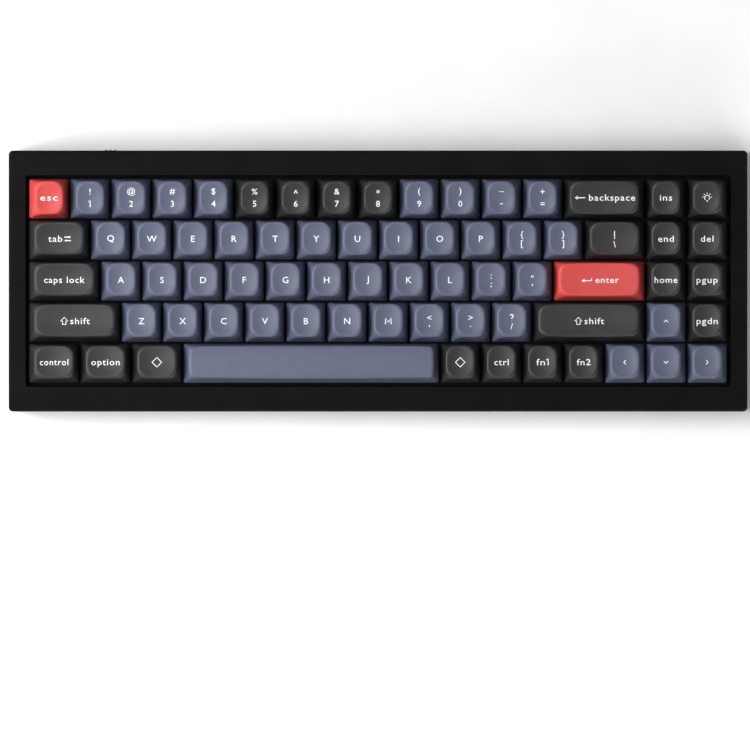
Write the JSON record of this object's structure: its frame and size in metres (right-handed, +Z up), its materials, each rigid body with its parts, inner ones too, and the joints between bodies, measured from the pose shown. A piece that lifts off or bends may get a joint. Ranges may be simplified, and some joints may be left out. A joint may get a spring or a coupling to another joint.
{
  "type": "mechanical keyboard",
  "caption": "Compact mechanical keyboard: wedge-shaped metal case, gasket-held switch plate, sculpted keycaps on sprung switches, wide keys with stabilisers, rear port and layout switch.",
  "frame": {"origin": "middle of the keyboard's box, on the desk under the feet", "axes": "+X to the typist's right, +Y away from the typist, +Z up; the key deck is tilted 5.2 degrees about X, back edge up"},
  "size_m": [0.342, 0.123, 0.0418],
  "materials": {
    "case_aluminium": "black anodised, fine matt bead-blast",
    "screw_steel": "black-oxide steel, satin",
    "plate_steel": "black powder coat, satin",
    "gasket_foam": "soft closed-cell foam",
    "foam_sheet": "soft foam sheet",
    "board_laminate": "black solder mask over glass-fibre board",
    "chip_epoxy": "moulded epoxy",
    "switch_housing": "moulded nylon, satin",
    "switch_cover": "moulded polycarbonate, satin",
    "spring_steel": "bright spring wire",
    "contact_bronze": "bright copper alloy",
    "socket_plastic": "moulded nylon",
    "lamp_lens": "milky lens",
    "port_steel": "nickel-plated sheet steel",
    "cable_film": "amber flexible film",
    "toggle_plastic": "moulded plastic, matt",
    "cap_red": "red moulded plastic, fine texture",
    "cap_blue": "blue-grey moulded plastic, fine texture",
    "cap_dark": "dark grey moulded plastic, fine texture",
    "wire_steel": "bright drawn steel wire",
    "foot_rubber": "matt moulded rubber",
    "legend_white": "off-white moulded plastic"
  },
  "bodies": {
    "root": {"top_case": "case_aluminium", "case_screws": "screw_steel", "switch_plate": "plate_steel", "plate_gaskets": "gasket_foam", "plate_foam": "foam_sheet", "circuit_board": "board_laminate", "controller_chip": "chip_epoxy", "case_foam": "foam_sheet", "switch_bases": "switch_housing", "switch_covers": "switch_cover", "switch_springs": "spring_steel", "switch_contacts": "contact_bronze", "switch_sockets": "socket_plastic", "key_lamps": "lamp_lens", "stabiliser_housings": "switch_housing", "stabiliser_screws": "screw_steel", "usb_board": "board_laminate", "usb_board_screws": "screw_steel", "usb_port": "port_steel", "board_cable": "cable_film", "toggle_housing": "socket_plastic", "bottom_case": "case_aluminium", "rubber_feet": "foot_rubber"},
    "escape_key": {"escape_key": "cap_red"},
    "number_row_keys": {"number_row_keys": "cap_blue"},
    "backspace_key": {"backspace_key": "cap_dark"},
    "insert_key": {"insert_key": "cap_dark"},
    "light_key": {"light_key": "cap_dark"},
    "tab_key": {"tab_key": "cap_dark"},
    "upper_row_keys": {"upper_row_keys": "cap_blue"},
    "backslash_key": {"backslash_key": "cap_dark"},
    "end_key": {"end_key": "cap_dark"},
    "delete_key": {"delete_key": "cap_dark"},
    "caps_lock_key": {"caps_lock_key": "cap_dark"},
    "home_row_keys": {"home_row_keys": "cap_blue"},
    "enter_key": {"enter_key": "cap_red"},
    "home_key": {"home_key": "cap_dark"},
    "page_up_key": {"page_up_key": "cap_dark"},
    "left_shift_key": {"left_shift_key": "cap_dark"},
    "lower_row_keys": {"lower_row_keys": "cap_blue"},
    "right_shift_key": {"right_shift_key": "cap_dark"},
    "up_key": {"up_key": "cap_blue"},
    "page_down_key": {"page_down_key": "cap_dark"},
    "control_key": {"control_key": "cap_dark"},
    "option_key": {"option_key": "cap_dark"},
    "left_command_key": {"left_command_key": "cap_dark"},
    "space_key": {"space_key": "cap_blue"},
    "right_command_key": {"right_command_key": "cap_dark"},
    "right_control_key": {"right_control_key": "cap_dark"},
    "fn1_key": {"fn1_key": "cap_dark"},
    "fn2_key": {"fn2_key": "cap_dark"},
    "left_key": {"left_key": "cap_blue"},
    "down_key": {"down_key": "cap_blue"},
    "right_key": {"right_key": "cap_blue"},
    "backspace_stabiliser_wire": {"backspace_stabiliser_wire": "wire_steel"},
    "enter_stabiliser_wire": {"enter_stabiliser_wire": "wire_steel"},
    "left_shift_stabiliser_wire": {"left_shift_stabiliser_wire": "wire_steel"},
    "right_shift_stabiliser_wire": {"right_shift_stabiliser_wire": "wire_steel"},
    "space_stabiliser_wire": {"space_stabiliser_wire": "wire_steel"},
    "toggle_knob": {"toggle_knob": "toggle_plastic"}
  },
  "joints": [
    {"name": "escape_key_press", "type": "slide", "parent": "root", "child": "escape_key", "axis": [0, 0.0906, -0.9959], "range_m": [0, 0.004], "stiffness_N_per_m": 65, "springref_m": -0.0046, "deforming": ["switch_springs"]},
    {"name": "number_row_keys_press", "type": "slide", "parent": "root", "child": "number_row_keys", "axis": [0, 0.0906, -0.9959], "range_m": [0, 0.004], "stiffness_N_per_m": 780, "springref_m": -0.0046, "deforming": ["switch_springs"]},
    {"name": "backspace_key_press", "type": "slide", "parent": "root", "child": "backspace_key", "axis": [0, 0.0906, -0.9959], "range_m": [0, 0.004], "stiffness_N_per_m": 65, "springref_m": -0.0046, "deforming": ["switch_springs"]},
    {"name": "insert_key_press", "type": "slide", "parent": "root", "child": "insert_key", "axis": [0, 0.0906, -0.9959], "range_m": [0, 0.004], "stiffness_N_per_m": 65, "springref_m": -0.0046, "deforming": ["switch_springs"]},
    {"name": "light_key_press", "type": "slide", "parent": "root", "child": "light_key", "axis": [0, 0.0906, -0.9959], "range_m": [0, 0.004], "stiffness_N_per_m": 65, "springref_m": -0.0046, "deforming": ["switch_springs"]},
    {"name": "tab_key_press", "type": "slide", "parent": "root", "child": "tab_key", "axis": [0, 0.0906, -0.9959], "range_m": [0, 0.004], "stiffness_N_per_m": 65, "springref_m": -0.0046, "deforming": ["switch_springs"]},
    {"name": "upper_row_keys_press", "type": "slide", "parent": "root", "child": "upper_row_keys", "axis": [0, 0.0906, -0.9959], "range_m": [0, 0.004], "stiffness_N_per_m": 780, "springref_m": -0.0046, "deforming": ["switch_springs"]},
    {"name": "backslash_key_press", "type": "slide", "parent": "root", "child": "backslash_key", "axis": [0, 0.0906, -0.9959], "range_m": [0, 0.004], "stiffness_N_per_m": 65, "springref_m": -0.0046, "deforming": ["switch_springs"]},
    {"name": "end_key_press", "type": "slide", "parent": "root", "child": "end_key", "axis": [0, 0.0906, -0.9959], "range_m": [0, 0.004], "stiffness_N_per_m": 65, "springref_m": -0.0046, "deforming": ["switch_springs"]},
    {"name": "delete_key_press", "type": "slide", "parent": "root", "child": "delete_key", "axis": [0, 0.0906, -0.9959], "range_m": [0, 0.004], "stiffness_N_per_m": 65, "springref_m": -0.0046, "deforming": ["switch_springs"]},
    {"name": "caps_lock_key_press", "type": "slide", "parent": "root", "child": "caps_lock_key", "axis": [0, 0.0906, -0.9959], "range_m": [0, 0.004], "stiffness_N_per_m": 65, "springref_m": -0.0046, "deforming": ["switch_springs"]},
    {"name": "home_row_keys_press", "type": "slide", "parent": "root", "child": "home_row_keys", "axis": [0, 0.0906, -0.9959], "range_m": [0, 0.004], "stiffness_N_per_m": 715, "springref_m": -0.0046, "deforming": ["switch_springs"]},
    {"name": "enter_key_press", "type": "slide", "parent": "root", "child": "enter_key", "axis": [0, 0.0906, -0.9959], "range_m": [0, 0.004], "stiffness_N_per_m": 65, "springref_m": -0.0046, "deforming": ["switch_springs"]},
    {"name": "home_key_press", "type": "slide", "parent": "root", "child": "home_key", "axis": [0, 0.0906, -0.9959], "range_m": [0, 0.004], "stiffness_N_per_m": 65, "springref_m": -0.0046, "deforming": ["switch_springs"]},
    {"name": "page_up_key_press", "type": "slide", "parent": "root", "child": "page_up_key", "axis": [0, 0.0906, -0.9959], "range_m": [0, 0.004], "stiffness_N_per_m": 65, "springref_m": -0.0046, "deforming": ["switch_springs"]},
    {"name": "left_shift_key_press", "type": "slide", "parent": "root", "child": "left_shift_key", "axis": [0, 0.0906, -0.9959], "range_m": [0, 0.004], "stiffness_N_per_m": 65, "springref_m": -0.0046, "deforming": ["switch_springs"]},
    {"name": "lower_row_keys_press", "type": "slide", "parent": "root", "child": "lower_row_keys", "axis": [0, 0.0906, -0.9959], "range_m": [0, 0.004], "stiffness_N_per_m": 650, "springref_m": -0.0046, "deforming": ["switch_springs"]},
    {"name": "right_shift_key_press", "type": "slide", "parent": "root", "child": "right_shift_key", "axis": [0, 0.0906, -0.9959], "range_m": [0, 0.004], "stiffness_N_per_m": 65, "springref_m": -0.0046, "deforming": ["switch_springs"]},
    {"name": "up_key_press", "type": "slide", "parent": "root", "child": "up_key", "axis": [0, 0.0906, -0.9959], "range_m": [0, 0.004], "stiffness_N_per_m": 65, "springref_m": -0.0046, "deforming": ["switch_springs"]},
    {"name": "page_down_key_press", "type": "slide", "parent": "root", "child": "page_down_key", "axis": [0, 0.0906, -0.9959], "range_m": [0, 0.004], "stiffness_N_per_m": 65, "springref_m": -0.0046, "deforming": ["switch_springs"]},
    {"name": "control_key_press", "type": "slide", "parent": "root", "child": "control_key", "axis": [0, 0.0906, -0.9959], "range_m": [0, 0.004], "stiffness_N_per_m": 65, "springref_m": -0.0046, "deforming": ["switch_springs"]},
    {"name": "option_key_press", "type": "slide", "parent": "root", "child": "option_key", "axis": [0, 0.0906, -0.9959], "range_m": [0, 0.004], "stiffness_N_per_m": 65, "springref_m": -0.0046, "deforming": ["switch_springs"]},
    {"name": "left_command_key_press", "type": "slide", "parent": "root", "child": "left_command_key", "axis": [0, 0.0906, -0.9959], "range_m": [0, 0.004], "stiffness_N_per_m": 65, "springref_m": -0.0046, "deforming": ["switch_springs"]},
    {"name": "space_key_press", "type": "slide", "parent": "root", "child": "space_key", "axis": [0, 0.0906, -0.9959], "range_m": [0, 0.004], "stiffness_N_per_m": 65, "springref_m": -0.0046, "deforming": ["switch_springs"]},
    {"name": "right_command_key_press", "type": "slide", "parent": "root", "child": "right_command_key", "axis": [0, 0.0906, -0.9959], "range_m": [0, 0.004], "stiffness_N_per_m": 65, "springref_m": -0.0046, "deforming": ["switch_springs"]},
    {"name": "right_control_key_press", "type": "slide", "parent": "root", "child": "right_control_key", "axis": [0, 0.0906, -0.9959], "range_m": [0, 0.004], "stiffness_N_per_m": 65, "springref_m": -0.0046, "deforming": ["switch_springs"]},
    {"name": "fn1_key_press", "type": "slide", "parent": "root", "child": "fn1_key", "axis": [0, 0.0906, -0.9959], "range_m": [0, 0.004], "stiffness_N_per_m": 65, "springref_m": -0.0046, "deforming": ["switch_springs"]},
    {"name": "fn2_key_press", "type": "slide", "parent": "root", "child": "fn2_key", "axis": [0, 0.0906, -0.9959], "range_m": [0, 0.004], "stiffness_N_per_m": 65, "springref_m": -0.0046, "deforming": ["switch_springs"]},
    {"name": "left_key_press", "type": "slide", "parent": "root", "child": "left_key", "axis": [0, 0.0906, -0.9959], "range_m": [0, 0.004], "stiffness_N_per_m": 65, "springref_m": -0.0046, "deforming": ["switch_springs"]},
    {"name": "down_key_press", "type": "slide", "parent": "root", "child": "down_key", "axis": [0, 0.0906, -0.9959], "range_m": [0, 0.004], "stiffness_N_per_m": 65, "springref_m": -0.0046, "deforming": ["switch_springs"]},
    {"name": "right_key_press", "type": "slide", "parent": "root", "child": "right_key", "axis": [0, 0.0906, -0.9959], "range_m": [0, 0.004], "stiffness_N_per_m": 65, "springref_m": -0.0046, "deforming": ["switch_springs"]},
    {"name": "backspace_stabiliser_wire_pivot", "type": "hinge", "parent": "root", "child": "backspace_stabiliser_wire", "pos_m": [0.10477, 0.02936, 0.01988], "axis": [-1, 0, 0], "range_deg": [0, 26.14]},
    {"name": "enter_stabiliser_wire_pivot", "type": "hinge", "parent": "root", "child": "enter_stabiliser_wire", "pos_m": [0.10239, -0.00858, 0.01643], "axis": [-1, 0, 0], "range_deg": [0, 26.14]},
    {"name": "left_shift_stabiliser_wire_pivot", "type": "hinge", "parent": "root", "child": "left_shift_stabiliser_wire", "pos_m": [-0.14049, -0.02756, 0.0147], "axis": [-1, 0, 0], "range_deg": [0, 26.14]},
    {"name": "right_shift_stabiliser_wire_pivot", "type": "hinge", "parent": "root", "child": "right_shift_stabiliser_wire", "pos_m": [0.09763, -0.02756, 0.0147], "axis": [-1, 0, 0], "range_deg": [0, 26.14]},
    {"name": "space_stabiliser_wire_pivot", "type": "hinge", "parent": "root", "child": "space_stabiliser_wire", "pos_m": [-0.03096, -0.04653, 0.01298], "axis": [-1, 0, 0], "range_deg": [0, 26.14]},
    {"name": "toggle_knob_slide", "type": "slide", "parent": "root", "child": "toggle_knob", "axis": [1, 0, 0], "range_m": [0, 0.0025]}
  ],
  "couplings": [
    {"joint": "backspace_stabiliser_wire_pivot", "follows": "backspace_key_press", "rad_per_m": 112.76},
    {"joint": "enter_stabiliser_wire_pivot", "follows": "enter_key_press", "rad_per_m": 112.76},
    {"joint": "left_shift_stabiliser_wire_pivot", "follows": "left_shift_key_press", "rad_per_m": 112.76},
    {"joint": "right_shift_stabiliser_wire_pivot", "follows": "right_shift_key_press", "rad_per_m": 112.76},
    {"joint": "space_stabiliser_wire_pivot", "follows": "space_key_press", "rad_per_m": 112.76}
  ]
}
